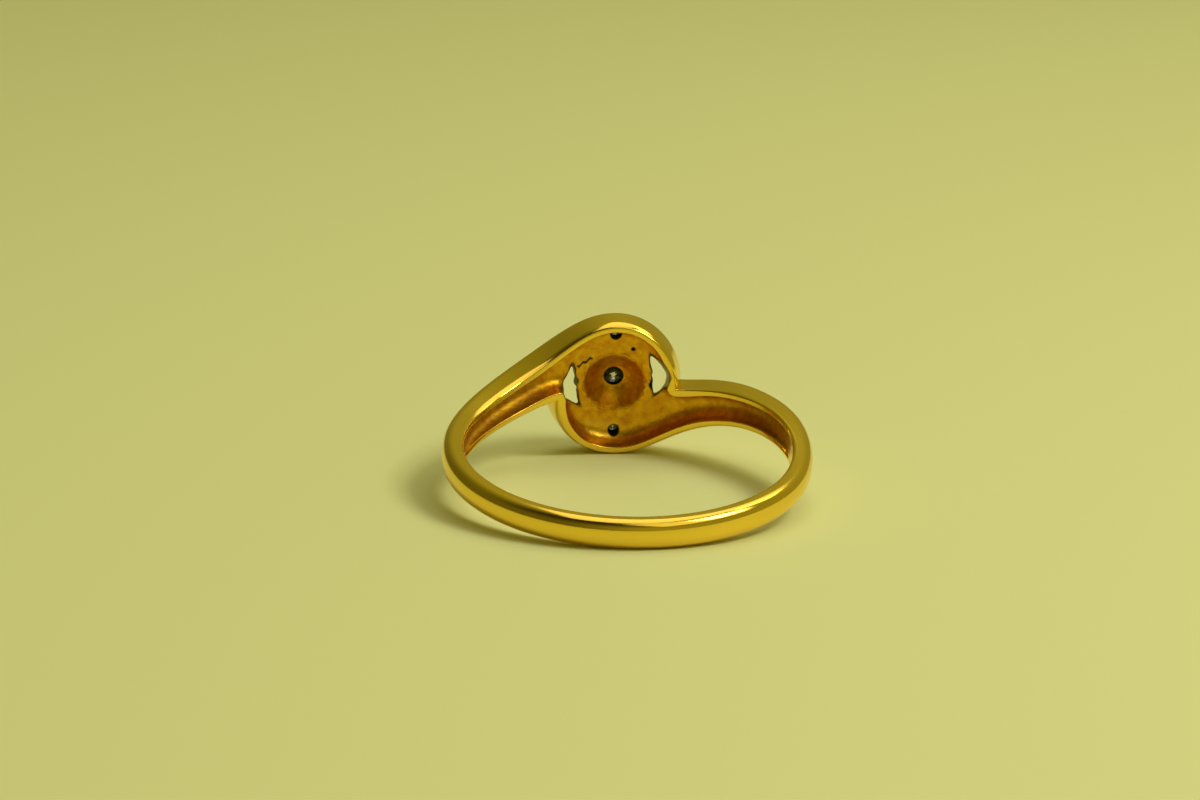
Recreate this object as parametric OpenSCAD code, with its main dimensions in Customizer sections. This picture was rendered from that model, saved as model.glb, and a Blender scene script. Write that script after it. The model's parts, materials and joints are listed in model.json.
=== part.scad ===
// Three-stone bypass ring, lying on its side as it does when taken off.
// Origin: centre of the finger hole. +X across the finger, +Y towards the head, +Z up from the surface.
// Ring frame, before it is laid down: Z is the finger's axis, +Y points at the head's middle.
// Outlines are drawn on the unrolled finger surface: u is the distance round the finger from the
// head's middle, a the distance along the finger. Half a turn about +Y swaps the two arms.
// Depths are measured outwards from the finger's surface.

/* [Finger] */
// Inside diameter of the ring
finger_d = 16.9; // [14:0.1:20.6]

/* [Shank] */
// Width of the shank at the back, along the finger
shank_w = 1.57; // [1.3:0.01:2]
// Thickness of the shank at the back
shank_t = 1.05; // [1:0.05:1.5]
// Height of the shank's straight sides below its rounded outside
shank_side = 0.45; // [0.3:0.05:0.7]
// Distance along the finger that each arm leaves the shank's middle by, at the shoulder
shoulder_shift = 0.18; // [0:0.01:0.25]

/* [Arms] */
// Reach of each arm from the head's middle, along the finger
arm_reach = 3.65; // [3.5:0.05:4.6]
// Distance round the finger to the arms' curled ends
curl_reach = 3.17; // [3.1:0.01:3.9]
// Distance along the finger from the middle to the notch where one arm meets the other
notch_offset = 0.32; // [0.2:0.01:0.5]
// Distance round the finger to the shoulder, where the arms settle into the shank
shoulder_reach = 10; // [9:0.1:12]
// Distance round the finger at which the shank starts to thicken into the head
swell_reach = 15.5; // [12:0.5:20]
// Thickness of the head
head_t = 2.2; // [2:0.05:2.7]
// Height of the head's sides below its rounded face
head_side = 1.45; // [1.1:0.05:1.8]
// Bulge of the head's sides beyond the edge that touches the finger
side_bulge = 0.16; // [0:0.01:0.25]
// Depth at which the sides reach it
bulge_depth = 0.5; // [0.3:0.05:0.55]

/* [Hollow back] */
// Width of the polished rim that touches the finger
rim_w = 0.3; // [0.2:0.01:0.45]
// Width of the rim at the notches
notch_rim_w = 0.45; // [0.3:0.01:0.6]
// Depth of the hollow under the head
hollow_depth = 1.15; // [0.8:0.01:1.3]
// Distance round the finger to the hollow's two ends
hollow_reach = 13; // [11:0.1:15]
// Height of the two windows beside the collet, along the finger
window_h = 2.05; // [1.4:0.05:2.4]
// Distance along the finger from the middle to each window's middle
window_shift = 0.35; // [0:0.01:0.5]
// Wall left between a window and the outside of the curled end
window_wall = 0.69; // [0.5:0.01:0.85]

/* [Centre setting] */
// Diameter of the centre diamond
centre_d = 2.1; // [1.7:0.05:2.6]
// Depth of the centre diamond's girdle
centre_girdle = 2.85; // [2.6:0.05:3.5]
// Outside diameter of the collet
collet_d = 3.9; // [3.4:0.05:4.7]
// Wall of the collet round the plate
collet_wall = 0.2; // [0.15:0.01:0.3]
// Height of the collet's wall above the plate's edge
collet_lip = 0.2; // [0.1:0.01:0.35]
// Diameter of the hole under the centre diamond
culet_hole_d = 1; // [0.7:0.05:1.3]
// Metal left between the bowl and the plate at that hole
culet_wall = 0.3; // [0.2:0.01:0.5]
// Width of the bowl where it opens into the hollow
bowl_d = 3.06; // [2.6:0.02:3.6]
// Drop of the plate from the diamond to the collet's wall
plate_fall = 0.14; // [0.05:0.01:0.25]
// Diameter of the centre claws
claw_d = 0.36; // [0.25:0.01:0.45]

/* [Accent stones] */
// Diameter of the accent diamonds
accent_d = 1.15; // [0.9:0.01:1.4]
// Depth of an accent diamond's girdle below the arm's face
accent_sink = 0.06; // [0.02:0.01:0.2]
// Diameter of the hole under each accent diamond
accent_hole_d = 0.56; // [0.4:0.01:0.7]
// Diameter of the grains that hold an accent diamond
grain_d = 0.26; // [0.18:0.01:0.32]

/* [Fits] */
// Gap between a diamond and the metal that holds it
stone_gap = 0.01; // [0.005:0.005:0.03]
// Depth of the sockets that the claws and grains stand in
socket_depth = 0.12; // [0.08:0.01:0.2]

/* [Hidden] */

finger_r = finger_d / 2;
collet_r = collet_d / 2;
bowl_r = bowl_d / 2;
culet_hole_r = culet_hole_d / 2;
half_turn = PI * finger_r;
// The ring rests on the head's lower side and on the shank's lower edge at the back.
lean = atan((arm_reach + side_bulge - shank_w / 2) / (finger_d + shank_side + bulge_depth));
// The form is drawn this much smaller inside, and the finger hole trims it.
trim = 0.1;
round_fn = 96;

gold = "#d4a92f";
satin_gold = "#b8862b";
white_gold = "#dcd9d0";
diamond = "#dfeef2";

// ---------- Outline on the unrolled finger surface ----------

function bezier(p, t) = pow(1 - t, 3) * p[0] + 3 * t * pow(1 - t, 2) * p[1]
    + 3 * t * t * (1 - t) * p[2] + pow(t, 3) * p[3];
function bezier_slope(p, t) = 3 * pow(1 - t, 2) * (p[1] - p[0])
    + 6 * t * (1 - t) * (p[2] - p[1]) + 3 * t * t * (p[3] - p[2]);
function left_normal(v) = [-v[1], v[0]] / norm(v);
function mix(low, high, share) = low + (high - low) * share;
function smooth_step(share) = let (s = min(1, max(0, share))) s * s * (3 - 2 * s);

inner_shoulder = shank_w / 2 - 0.58 * shoulder_shift;
outer_shoulder = shank_w / 2 + 1.48 * shoulder_shift;

// The arm sweeps from its shoulder up to its crest, above the head's middle.
sweep = [[-shoulder_reach, inner_shoulder], [-0.34 * shoulder_reach, inner_shoulder],
         [-0.26 * shoulder_reach, arm_reach], [0, arm_reach]];
// The other arm leaves the notch for its own shoulder.
return_edge = [[curl_reach, notch_offset], [curl_reach + 1.05, notch_offset + 0.08],
               [curl_reach + 2.85, outer_shoulder - 0.05], [shoulder_reach, outer_shoulder]];
sweep_steps = 16;
return_steps = 12;
curl_step = 5;
settle_steps = 6;
settle_reach = shoulder_reach + 8;

// Rim width at a point of the curl or of the edge beyond the notch.
function curl_rim(phi) = mix(rim_w, notch_rim_w, pow(sin(phi), 2));
function return_rim(t) = mix(notch_rim_w, rim_w, smooth_step(2.5 * t));

// A point of the upper edge moved inwards by inset times the rim's width.
function settle_point(share, side, inset) = [
    side * mix(settle_reach, shoulder_reach, share),
    mix(shank_w / 2, side < 0 ? inner_shoulder : outer_shoulder, smooth_step(share)) - inset * rim_w];
function sweep_point(t, inset) = bezier(sweep, t)
    - inset * rim_w * left_normal(bezier_slope(sweep, t));
function curl_point(phi, inset) = let (
    height = arm_reach - notch_offset,
    outward = [sin(phi) / curl_reach, cos(phi) / height])
    [curl_reach * sin(phi), notch_offset + height * cos(phi)]
    - inset * curl_rim(phi) * outward / norm(outward);
function notch_point(turn) = [curl_reach, notch_offset] - notch_rim_w * [cos(turn), sin(turn)];
function return_point(t, inset) = bezier(return_edge, t)
    - inset * return_rim(t) * left_normal(bezier_slope(return_edge, t));

// The upper edge from the back on the left to the back on the right; inset 1 gives the rim's inner side.
function upper_edge(inset) = concat(
    [[-half_turn - 1, shank_w / 2 - inset * rim_w]],
    [for (i = [0:settle_steps - 1]) settle_point(i / settle_steps, -1, inset)],
    [for (i = [0:sweep_steps - 1]) sweep_point(i / sweep_steps, inset)],
    [for (phi = [0:curl_step:90]) curl_point(phi, inset)],
    inset > 0 ? [for (turn = [15:15:75]) notch_point(turn)] : [],
    [for (i = [1:return_steps]) return_point(i / return_steps, inset)],
    [for (i = [1:settle_steps]) settle_point(1 - i / settle_steps, 1, inset)],
    [[half_turn + 1, shank_w / 2 - inset * rim_w]]);

outer_edge = upper_edge(0);
inner_edge = upper_edge(1);
function top(u, edge) = lookup(u, edge);
function bottom(u, edge) = -lookup(-u, edge);

// ---------- Cross-section at each station round the ring ----------

function swell(u) = abs(u) < swell_reach ? (1 + cos(180 * u / swell_reach)) / 2 : 0;
function thickness(u) = mix(shank_t, head_t, swell(u));
function side_height(u) = mix(shank_side, head_side, swell(u));
// 1 is half-round, smaller is squarer.
function outside_roundness(u) = mix(0.7, 0.45, swell(u));
hollow_roundness = 0.5;
function hollow_floor(u) = max(-trim, hollow_depth * (1 - pow(u / hollow_reach, 2)));

function power(base, exponent) = sign(base) * pow(abs(base), exponent);
// A superelliptic arch over [low, high], from height foot to height crown.
function arch(low, high, foot, crown, roundness, psi) = [
    mix(low, high, 0.5 + 0.5 * power(cos(psi), roundness)),
    foot + (crown - foot) * power(sin(psi), roundness)];

// How far the side stands out at a depth, and the depths of a side's points.
function bulge_reach(u) = side_height(u) * bulge_depth / head_side;
function bulge(u, depth) = side_bulge * swell(u) * sin(90 * min(1, depth / bulge_reach(u)));
function side_depths(u) = [-trim, bulge_reach(u) / 2, bulge_reach(u)];

arch_step = 22.5;
function section(u) = let (
    low = bottom(u, outer_edge), high = top(u, outer_edge),
    full = bulge(u, side_height(u)), depths = side_depths(u)) concat(
    [for (psi = [0:arch_step:180]) arch(low - full, high + full,
        side_height(u), thickness(u), outside_roundness(u), psi)],
    [for (i = [2:-1:0]) [low - bulge(u, depths[i]), depths[i]]],
    [for (psi = [180:-arch_step:0]) arch(bottom(u, inner_edge), top(u, inner_edge),
        -trim, hollow_floor(u), hollow_roundness, psi)],
    [for (i = [0:2]) [high + bulge(u, depths[i]), depths[i]]]);

function rolled(u, point) = let (turn = u / finger_r * 180 / PI, r = finger_r + point[1])
    [r * sin(turn), r * cos(turn), point[0]];

shank_stations = 32;
function half_stations() = concat(
    [for (phi = [curl_step:curl_step:90]) curl_reach * sin(phi)],
    [for (i = [1:shank_stations - 1])
        curl_reach + (half_turn - curl_reach) * pow(i / shank_stations, 1.2)]);
right_stations = half_stations();
last_station = len(right_stations) - 1;
stations = concat(
    [half_turn],
    [for (i = [last_station:-1:0]) right_stations[i]],
    [0],
    [for (i = [0:last_station]) -right_stations[i]]);

module band_form() {
    sections = [for (u = stations) [for (p = section(u)) rolled(u, p)]];
    rings = len(sections);
    sides = len(sections[0]);
    polyhedron(
        points = [for (ring = sections) each ring],
        faces = [for (j = [0:rings - 1], i = [0:sides - 1]) let (
            here = j * sides, next = ((j + 1) % rings) * sides, k = (i + 1) % sides)
            each [[here + i, next + i, next + k], [here + i, next + k, here + k]]],
        convexity = 8);
}

// ---------- Stones ----------

crown_angle = 34;
pavilion_angle = 41;
table_share = 0.57;
girdle_share = 0.04;
function pavilion_h(d) = d / 2 * tan(pavilion_angle);
function crown_h(d) = d / 2 * (1 - table_share) * tan(crown_angle);

// A round brilliant of 57 facets and a culet point, its girdle centred on z = 0.
module brilliant(d) {
    r = d / 2;
    g = girdle_share * r;
    star_r = 0.79 * r;
    lower_r = 0.24 * r;
    star_z = g + (r - star_r * cos(22.5)) * tan(crown_angle);
    lower_z = -g - (r - lower_r * cos(22.5)) * tan(pavilion_angle);
    girdle = [for (i = [0:15]) r * [cos(22.5 * i), sin(22.5 * i)]];
    points = concat(
        [for (i = [0:7]) [table_share * r * cos(45 * i), table_share * r * sin(45 * i), g + crown_h(d)]],
        [for (i = [0:7]) [star_r * cos(45 * i + 22.5), star_r * sin(45 * i + 22.5), star_z]],
        [for (p = girdle) [p[0], p[1], g]],
        [for (p = girdle) [p[0], p[1], -g]],
        [for (i = [0:7]) [lower_r * cos(45 * i + 22.5), lower_r * sin(45 * i + 22.5), lower_z]],
        [[0, 0, -g - pavilion_h(d)]]);
    table_facet = [[for (i = [7:-1:0]) i]];
    crown_facets = [for (i = [0:7]) let (
        n = (i + 1) % 8, star = 8 + i, last_star = 8 + (i + 7) % 8,
        main = 16 + 2 * i, half = main + 1, next_main = 16 + 2 * n, before = 16 + (2 * i + 15) % 16)
        each [[i, n, star], [i, star, main, last_star], [star, half, main], [star, next_main, half]]];
    girdle_facets = [for (i = [0:15]) let (n = (i + 1) % 16) [16 + i, 16 + n, 32 + n, 32 + i]];
    pavilion_facets = [for (i = [0:7]) let (
        n = (i + 1) % 8, low = 48 + i, last_low = 48 + (i + 7) % 8,
        main = 32 + 2 * i, half = main + 1, next_main = 32 + 2 * n)
        each [[56, last_low, main, low], [low, main, half], [low, half, next_main]]];
    polyhedron(points = points,
        faces = concat(table_facet, crown_facets, girdle_facets, pavilion_facets));
}

// The round shape that a diamond of diameter d fills, grown by the gap, with the way in above it.
module stone_room(d) {
    r = d / 2 + stone_gap;
    g = girdle_share * d / 2 + stone_gap;
    rotate_extrude($fn = round_fn) polygon([
        [0, -g - r * tan(pavilion_angle)], [r, -g], [r, g],
        [table_share * r, g + r * (1 - table_share) * tan(crown_angle)],
        [0, g + r * (1 - table_share) * tan(crown_angle)]]);
}

module stone_seat(d, hole_d) {
    stone_room(d);
    cylinder(r = d / 2 + stone_gap, h = d, $fn = round_fn);
    translate([0, 0, -2 * d]) cylinder(d = hole_d, h = 2 * d, $fn = round_fn);
}

// Four round-topped posts round a diamond of diameter d, clear of the diamond itself.
module four_posts(d, post_d, height, root) {
    difference() {
        for (turn = [45:90:315]) rotate([0, 0, turn])
            translate([d / 2 + 0.28 * post_d, 0, -root]) {
                cylinder(d = post_d, h = root + height - post_d / 2, $fn = round_fn);
                translate([0, 0, root + height - post_d / 2]) sphere(d = post_d, $fn = round_fn);
            }
        stone_room(d);
    }
}

module post_sockets(d, post_d, root) {
    for (turn = [45:90:315]) rotate([0, 0, turn])
        translate([d / 2 + 0.28 * post_d, 0, -root]) cylinder(d = post_d, h = root + d, $fn = round_fn);
}

// ---------- Places ----------

// Lays the ring on its side, resting on the head and on the back of the shank.
module laid() rotate([lean, 0, 0]) children();
// Puts a child's +Z outwards through the head, at a depth and a distance along the finger.
module outwards(depth, along = 0) translate([0, finger_r + depth, along]) rotate([-90, 0, 0]) children();

accent_offset = (collet_r + arm_reach) / 2;
function face_depth(along) = let (
    e = outside_roundness(0), c = pow(along / (arm_reach + side_bulge), 1 / e))
    head_side + (head_t - head_side) * pow(sqrt(1 - c * c), e);
accent_girdle = face_depth(accent_offset) - accent_sink;
// The plate starts where the diamond's point just clears the culet hole.
plate_floor = centre_girdle - girdle_share * centre_d / 2 - pavilion_h(centre_d)
    + (culet_hole_r - 2 * stone_gap) * tan(pavilion_angle);
plate_r = collet_r - collet_wall;
plate_edge = centre_girdle - plate_fall;
bowl_crown = plate_floor - culet_wall;
bowl_spread = (bowl_r - culet_hole_r) / (bowl_crown - hollow_depth);

// Each window is a segment of a circle between the collet and the wall of the curled end.
window_in = collet_r - 0.05;
window_out = (finger_r + hollow_depth) * sin((curl_reach - window_wall) / finger_r * 180 / PI);
window_sagitta = window_out - window_in;
window_r = (pow(window_sagitta, 2) + pow(window_h / 2, 2)) / (2 * window_sagitta);
cut_start = finger_r + hollow_depth / 2;
cut_length = 2 * head_t;

module window() {
    intersection() {
        translate([window_out - window_r, cut_start, window_shift])
            rotate([-90, 0, 0]) cylinder(r = window_r, h = cut_length, $fn = round_fn);
        translate([window_in, cut_start, window_shift - window_h])
            cube([window_out, cut_length, 2 * window_h]);
    }
}

// ---------- Sub-parts ----------

module band() {
    color(gold) laid() difference() {
        band_form();
        cylinder(r = finger_r, h = 4 * arm_reach, center = true, $fn = 180);
        translate([0, cut_start, 0]) rotate([-90, 0, 0])
            cylinder(r = collet_r, h = cut_length, $fn = round_fn);
        for (turn = [0, 180]) rotate([0, turn, 0]) {
            window();
            outwards(accent_girdle, accent_offset) {
                stone_seat(accent_d, accent_hole_d);
                post_sockets(accent_d, grain_d, socket_depth);
            }
        }
    }
}

module centre_collet() {
    low = hollow_depth - 0.35;
    color(satin_gold) laid() difference() {
        outwards(0) rotate_extrude($fn = round_fn) polygon([
            [culet_hole_r, bowl_crown], [culet_hole_r, plate_floor], [plate_r, plate_floor],
            [plate_r, plate_edge + collet_lip], [collet_r, plate_edge + collet_lip], [collet_r, low],
            [culet_hole_r + (bowl_crown - low) * bowl_spread, low]]);
        cylinder(r = finger_r + hollow_depth, h = 2 * collet_d, center = true, $fn = 180);
    }
}

module centre_plate() {
    seat_r = centre_d / 2 + stone_gap;
    color(white_gold) laid() outwards(0) difference() {
        rotate_extrude($fn = round_fn) polygon([
            [culet_hole_r, plate_floor], [plate_r, plate_floor], [plate_r, plate_edge],
            [seat_r, centre_girdle], [culet_hole_r, centre_girdle]]);
        translate([0, 0, centre_girdle]) {
            stone_seat(centre_d, culet_hole_d);
            post_sockets(centre_d, claw_d, plate_fall + socket_depth);
        }
    }
}

module centre_claws() {
    color(white_gold) laid() outwards(centre_girdle)
        four_posts(centre_d, claw_d, 0.16 * centre_d, plate_fall + socket_depth);
}

module centre_diamond() {
    color(diamond) laid() outwards(centre_girdle) brilliant(centre_d);
}

module accent_diamond(turn) {
    color(diamond) laid() rotate([0, turn, 0])
        outwards(accent_girdle, accent_offset) brilliant(accent_d);
}

module accent_grains(turn) {
    color(gold) laid() rotate([0, turn, 0]) outwards(accent_girdle, accent_offset)
        four_posts(accent_d, grain_d, 0.2 * accent_d, socket_depth);
}

module upper_diamond() accent_diamond(0);
module upper_grains() accent_grains(0);
module lower_diamond() accent_diamond(180);
module lower_grains() accent_grains(180);

band();
centre_collet();
centre_plate();
centre_claws();
centre_diamond();
upper_diamond();
upper_grains();
lower_diamond();
lower_grains();
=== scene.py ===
import json
import math

import bpy
import numpy as np
from mathutils import Matrix, Vector


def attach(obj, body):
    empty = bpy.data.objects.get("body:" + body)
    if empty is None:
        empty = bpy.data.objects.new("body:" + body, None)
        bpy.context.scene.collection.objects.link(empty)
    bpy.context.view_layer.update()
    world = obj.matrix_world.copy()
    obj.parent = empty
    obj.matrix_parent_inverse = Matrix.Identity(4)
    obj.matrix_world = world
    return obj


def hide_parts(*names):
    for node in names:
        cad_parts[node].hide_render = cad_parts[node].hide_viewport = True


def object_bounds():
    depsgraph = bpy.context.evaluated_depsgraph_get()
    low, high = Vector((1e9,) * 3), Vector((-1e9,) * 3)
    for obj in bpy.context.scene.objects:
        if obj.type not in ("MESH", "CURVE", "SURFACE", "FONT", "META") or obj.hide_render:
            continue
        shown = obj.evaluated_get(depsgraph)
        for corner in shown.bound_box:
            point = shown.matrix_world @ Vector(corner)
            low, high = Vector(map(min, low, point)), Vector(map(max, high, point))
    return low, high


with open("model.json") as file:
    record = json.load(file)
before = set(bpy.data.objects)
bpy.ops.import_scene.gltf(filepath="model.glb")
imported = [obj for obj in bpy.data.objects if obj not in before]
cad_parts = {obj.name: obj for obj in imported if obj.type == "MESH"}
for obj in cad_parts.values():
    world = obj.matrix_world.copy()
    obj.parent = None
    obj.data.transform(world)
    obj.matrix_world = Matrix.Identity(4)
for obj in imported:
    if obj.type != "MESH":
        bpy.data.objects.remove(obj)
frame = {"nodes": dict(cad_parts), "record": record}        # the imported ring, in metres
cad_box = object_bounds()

# The ring lies on its side on a pale floor and is seen from behind, through the finger hole.
# Shapes are worked out in the ring's own frame, in mm: x across the finger, y from the hole's middle
# through the head, z along the finger. The band is also drawn unrolled: u is the distance round the
# finger from the head's middle, a the distance along the finger, d the depth beyond the finger.

MM = 0.001

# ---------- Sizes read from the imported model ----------

finger_bore = frame["record"]["mounts"][0]
finger_r = finger_bore["dims"]["r_mm"]
lean = math.atan2(-finger_bore["axis"][1], finger_bore["axis"][2])
LAID = Matrix.Rotation(lean, 3, "X")


def ring_points(node):
    """A CAD node's points in the ring's own frame, in mm."""
    mesh = frame["nodes"][node].data
    co = np.empty(len(mesh.vertices) * 3)
    mesh.vertices.foreach_get("co", co)
    return co.reshape(-1, 3) @ np.array(LAID) / MM


def ring_box(node):
    """Lowest and highest corner of a CAD node in the ring's own frame, in mm."""
    points = ring_points(node)
    return points.min(0), points.max(0)


def widest_depth(node, offset):
    """Depth at which a CAD stone, offset along the finger, is widest."""
    x, y, z = ring_points(node).T
    gap = np.hypot(x, z - offset)
    return y[gap > 0.97 * gap.max()].mean() - finger_r


band_low, band_high = ring_box("band")
collet_high = ring_box("centre_collet")[1]
plate_low, plate_high = ring_box("centre_plate")
stone_high = ring_box("centre_diamond")[1]
accent_low, accent_high = ring_box("upper_diamond")

arm_reach = finger_bore["dims"]["length_mm"] / 2
side_bulge = band_high[2] - arm_reach
head_t = band_high[1] - finger_r
shank_t = -band_low[1] - finger_r
collet_r = collet_high[0]
collet_top = collet_high[1] - finger_r
plate_r = plate_high[0]
plate_floor = plate_low[1] - finger_r
centre_girdle = plate_high[1] - finger_r
centre_r = stone_high[0]
accent_r = accent_high[0]
accent_offset = (accent_low[2] + accent_high[2]) / 2
accent_girdle = widest_depth("upper_diamond", accent_offset)

# ---------- Sizes of the details, in mm ----------

shank_w = 1.57
# Depths up to which the sides stand upright, and over which the head's walls swell out.
shank_side = 0.45
head_side = 1.45
bulge_depth = 0.5
# Distances from the head's middle, round the finger, at which the arms leave the shank, at which its
# edges are straight and at which it begins to thicken. Its edges are shifted where the arms leave it.
shoulder_reach = 10
settle_reach = shoulder_reach + 8
swell_reach = 15.5
shoulder_shift = 0.18
# The notch where one arm's curl passes the other's start.
curl_reach = 3.17
notch_offset = 0.32
notch = (curl_reach, notch_offset)
# The polished rim round the hollow, which is wider beside the notch.
rim_w = 0.3
notch_rim_w = 0.45
notch_rim_spread = 1.6
# The hollow back: its depth at the head's middle, its reach, the rounding of its walls, and how
# steeply it ends.
hollow_depth = 1.15
hollow_reach = 13
shank_hollow_r = 0.42
head_hollow_r = 0.9
hollow_rise = 0.3
# The collet's hole, the bowl round it, the solder over its rim and the plate's outer edge.
culet_hole_r = 0.5
bowl_crown = plate_floor - 0.3
bowl_r = 1.53
bowl_curve = 1.45
BOWL_FALL = (bowl_crown - hollow_depth) / (bowl_r - culet_hole_r) ** bowl_curve
solder_t = 0.14
plate_edge = centre_girdle - 0.14
# The holes behind the accent stones, the room in the stones' seats and the slope of the seats' walls.
accent_hole_r = 0.28
seat_room = 0.012
SEAT_SLOPE = (0.75, 0.66)
# Shares by which the walls turn from radial to parallel with the head's axis, at the sweeps and at
# each curl.
sweep_upright = 0.05
upper_curl_upright = 0.5
lower_curl_upright = 0.15
# Rounding of the outer face, with the powers that make it squarer, and of the edge at the finger.
head_round_r = 0.85
shank_square = 2.3
head_square = 2.6
edge_round = 0.09
shank_edge_round = 0.26
# Height of the cast grain, and of the windows' ragged edges: everywhere, and more at the collet.
grain_height = 0.003
window_rag = 0.02
collet_rag = 0.07

half_turn = math.pi * finger_r
inner_shoulder = shank_w / 2 - 0.58 * shoulder_shift
outer_shoulder = shank_w / 2 + 1.48 * shoulder_shift

# ---------- Small mathematics ----------


def mix(low, high, share):
    """The value a share of the way from low to high."""
    return low + (high - low) * share


def smooth_step(share):
    """A share between 0 and 1 that starts and stops gently."""
    s = np.clip(share, 0, 1)
    return s * s * (3 - 2 * s)


def smooth_min(a, b, radius):
    """The lesser of a and b, rounded where they meet."""
    h = np.maximum(radius - np.abs(a - b), 0) / radius
    return np.minimum(a, b) - h * h * radius / 4


def smooth_max(a, b, radius):
    """The greater of a and b, rounded where they meet."""
    return -smooth_min(-a, -b, radius)


def bezier(p, t):
    """Points at shares t of a curve with four control points."""
    p = np.array(p, float)
    t = np.asarray(t)[:, None]
    return (1 - t) ** 3 * p[0] + 3 * t * (1 - t) ** 2 * p[1] + 3 * t * t * (1 - t) * p[2] + t ** 3 * p[3]


class Bumps:
    """Smooth random bumps between about -1 and 1, a sum of waves in seeded directions."""

    def __init__(self, seed, size, waves=14):
        rng = np.random.default_rng(seed)
        direction = rng.normal(size=(waves, 3))
        direction /= np.linalg.norm(direction, axis=1)[:, None]
        self.k = direction * (2 * math.pi / size) * rng.uniform(0.7, 1.4, (waves, 1))
        self.phase = rng.uniform(0, 2 * math.pi, waves)
        self.scale = math.sqrt(2 / waves) / 1.4

    def __call__(self, x, y, z):
        total = 0
        for k, phase in zip(self.k, self.phase):
            total = total + np.sin(k[0] * x + k[1] * y + k[2] * z + phase)
        return total * self.scale


# ---------- The band's outline on the unrolled finger ----------


def evenly(points, step):
    """The same path with points every step."""
    points = np.array(points, float)
    reach = np.concatenate([[0], np.cumsum(np.linalg.norm(np.diff(points, axis=0), axis=1))])
    at = np.linspace(0, reach[-1], int(reach[-1] / step) + 1)
    return np.column_stack([np.interp(at, reach, points[:, i]) for i in (0, 1)])


def settle(side):
    """The shank's edge between the back and a shoulder."""
    share = np.linspace(0, 1, 60)
    shoulder = inner_shoulder if side < 0 else outer_shoulder
    return np.column_stack([side * mix(settle_reach, shoulder_reach, share),
                            mix(shank_w / 2, shoulder, smooth_step(share))])


def sweep_and_curl():
    """The upper arm's outer edge, from the back on the left to its end, and straight on down."""
    sweep = [[-shoulder_reach, inner_shoulder], [-0.34 * shoulder_reach, inner_shoulder],
             [-0.26 * shoulder_reach, arm_reach], [0, arm_reach]]
    phi = np.linspace(0, math.pi / 2, 120)
    curl = np.column_stack([curl_reach * np.sin(phi),
                            notch_offset + (arm_reach - notch_offset) * np.cos(phi)])
    back = [[-half_turn, shank_w / 2]]
    end = [[curl_reach, -6]]
    return np.vstack([back, settle(-1), bezier(sweep, np.linspace(0, 1, 200)), curl, end])


def return_edge():
    """The lower arm's upper edge, from inside the head through the notch to the back on the right."""
    leaving = [list(notch), [curl_reach + 1.05, notch_offset + 0.08],
               [curl_reach + 2.85, outer_shoulder - 0.05], [shoulder_reach, outer_shoulder]]
    bend_r = 2.2
    start_u = curl_reach - 0.6
    phi = np.linspace(0, math.pi / 2, 80)
    bend = np.column_stack([start_u - bend_r * np.cos(phi),
                            notch_offset - 0.05 - bend_r * (1 - np.sin(phi))])
    return np.vstack([[[start_u - bend_r, -6]], bend, bezier(leaving, np.linspace(0, 1, 200)),
                      settle(1)[::-1], [[half_turn, shank_w / 2]]])


class InsideDistance:
    """Distance of a point to the right of a path, kept on a grid and read back smoothly."""

    step = 0.1

    def __init__(self, path):
        path = evenly(path, 0.05)
        tangent = np.gradient(path, axis=0)
        tangent /= np.linalg.norm(tangent, axis=1)[:, None]
        inwards = np.column_stack([tangent[:, 1], -tangent[:, 0]])
        turning = np.gradient(np.unwrap(np.arctan2(tangent[:, 1], tangent[:, 0]))) / 0.05
        bend = -np.convolve(np.pad(turning, 3, "edge"), np.ones(7) / 7, "valid")
        self.u0 = -settle_reach - 2
        self.a0 = -arm_reach - 1
        us = np.arange(self.u0, -self.u0 + self.step, self.step)
        along = np.arange(self.a0, -self.a0 + self.step, self.step)
        rows = []
        for u in us:
            du = u - path[:, 0][None, :]
            da = along[:, None] - path[:, 1][None, :]
            near = np.argmin(du * du + da * da, axis=1)
            pick = np.arange(len(along))
            du, da = du[0][near], da[pick, near]
            s = du * tangent[near, 0] + da * tangent[near, 1]
            h = du * inwards[near, 0] + da * inwards[near, 1]
            k = bend[near]
            rows.append((2 * h - k * (s * s + h * h)) / (1 + np.sqrt((k * s) ** 2 + (k * h - 1) ** 2)))
        self.grid = np.array(rows)

    def __call__(self, u, a):
        x = np.clip((u - self.u0) / self.step, 1, self.grid.shape[0] - 2.001)
        y = np.clip((a - self.a0) / self.step, 1, self.grid.shape[1] - 2.001)
        i, j = x.astype(int), y.astype(int)
        wx, wy = self.weights(x - i), self.weights(y - j)
        total = 0
        for m in range(4):
            for n in range(4):
                total = total + wx[m] * wy[n] * self.grid[i + m - 1, j + n - 1]
        return total

    @staticmethod
    def weights(t):
        """Catmull-Rom weights of four neighbours."""
        return (((2 - t) * t - 1) * t / 2, ((3 * t - 5) * t * t + 2) / 2,
                ((4 - 3 * t) * t + 1) * t / 2, (t - 1) * t * t / 2)


curl_side = InsideDistance(sweep_and_curl())
return_side = InsideDistance(return_edge())

# ---------- The band's form: positive in the metal ----------


def swell(u):
    """Share of the way from the shank's section to the head's."""
    return np.where(np.abs(u) < swell_reach, (1 + np.cos(math.pi * u / swell_reach)) / 2, 0)


def squash_u(u, d, curl_upright):
    """Where a point of the upper edge's walls lies on the finger's surface."""
    fade = 1 - smooth_step((np.abs(u) - 3.6) / 5)
    upright = mix(sweep_upright, curl_upright, smooth_step((u + 1.5) / 3))
    return u * (1 + upright * fade * d / finger_r)


def return_bulge(u):
    """Share of the bulge that the return edge's wall has at u: it draws in beside the notch."""
    return mix(-0.6, 1, smooth_step((u - curl_reach) / 4))


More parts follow.
